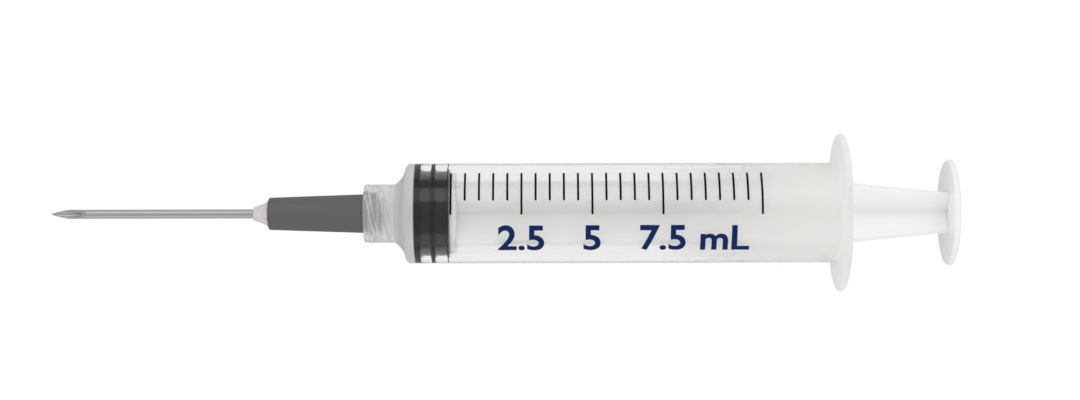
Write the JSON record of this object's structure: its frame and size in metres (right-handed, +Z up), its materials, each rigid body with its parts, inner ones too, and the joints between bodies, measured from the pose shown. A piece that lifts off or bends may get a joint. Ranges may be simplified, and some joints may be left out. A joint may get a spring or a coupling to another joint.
{
  "type": "luer lock syringe with needle",
  "caption": "Disposable luer lock syringe with a sliding plunger, a printed scale and a screw-on hypodermic needle, lying on its side.",
  "frame": {"origin": "under the middle of the overall length, on the surface that the finger flange's lower flat stands on", "axes": "+X along the syringe from the needle's point to the thumb rest, +Y to the side that the scale starts on, +Z up"},
  "size_m": [0.1614, 0.0282, 0.0258],
  "materials": {
    "barrel": "clear natural polypropylene, smooth",
    "ink": "matt black printing ink",
    "gasket": "black rubber with a silicone film",
    "rod": "natural polypropylene, milky",
    "hub": "grey polypropylene, satin",
    "bond": "clear set adhesive",
    "steel": "drawn stainless steel"
  },
  "bodies": {
    "barrel": {"barrel": "barrel", "graduation_marks": "ink"},
    "gasket": {"gasket": "gasket"},
    "rod": {"plunger_rod": "rod"},
    "needle_carrier": {"needle_bond": "bond"},
    "needle": {"needle_hub": "hub", "cannula": "steel"}
  },
  "joints": [
    {"name": "plunger_slide", "type": "slide", "parent": "barrel", "child": "gasket", "axis": [1, 0, 0], "range_m": [0, 0.066]},
    {"name": "plunger_turn", "type": "hinge", "parent": "gasket", "child": "rod", "pos_m": [-0.0092, 0, 0.0129], "axis": [1, 0, 0], "continuous": true},
    {"name": "needle_advance", "type": "slide", "parent": "barrel", "child": "needle_carrier", "axis": [-1, 0, 0], "range_m": [0, 0.00292]},
    {"name": "needle_twist", "type": "hinge", "parent": "needle_carrier", "child": "needle", "pos_m": [-0.03, 0, 0.0129], "axis": [-1, 0, 0], "range_deg": [0, 210]}
  ],
  "couplings": [
    {"joint": "needle_twist", "follows": "needle_advance", "rad_per_m": 1256.6}
  ]
}
